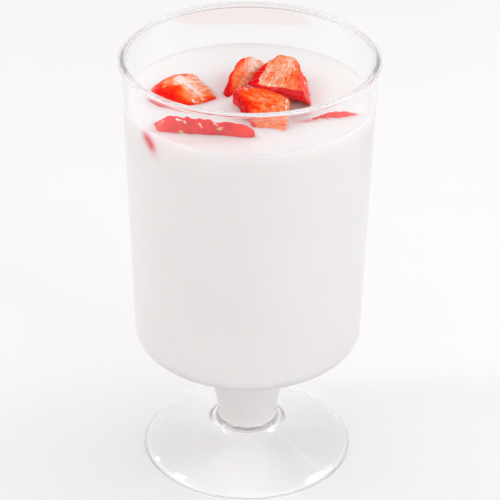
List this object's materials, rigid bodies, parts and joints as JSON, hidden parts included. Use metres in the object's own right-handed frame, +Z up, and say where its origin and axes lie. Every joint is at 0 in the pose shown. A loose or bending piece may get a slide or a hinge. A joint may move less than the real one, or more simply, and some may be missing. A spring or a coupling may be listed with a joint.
{
  "type": "footed plastic dessert cup of milk pudding with strawberry",
  "caption": "Clear disposable footed plastic cup with a hollow stem, filled with set milk pudding, with chopped strawberry half sunk in its top.",
  "frame": {"origin": "on the table, under the middle of the foot", "axes": "+Z up along the cup's axis, +X to the right as seen from the front"},
  "size_m": [0.068, 0.068, 0.12],
  "materials": {
    "clear_plastic": "clear glossy moulded polystyrene",
    "milk_pudding": "smooth, soft and moist",
    "strawberry": "wet, red skin and paler cut flesh"
  },
  "bodies": {
    "root": {"cup": "clear_plastic", "milk_pudding": "milk_pudding", "strawberry_right": "strawberry", "strawberry_front": "strawberry", "strawberry_back": "strawberry", "strawberry_left": "strawberry", "strawberry_slice": "strawberry", "strawberry_sliver": "strawberry"}
  },
  "joints": []
}
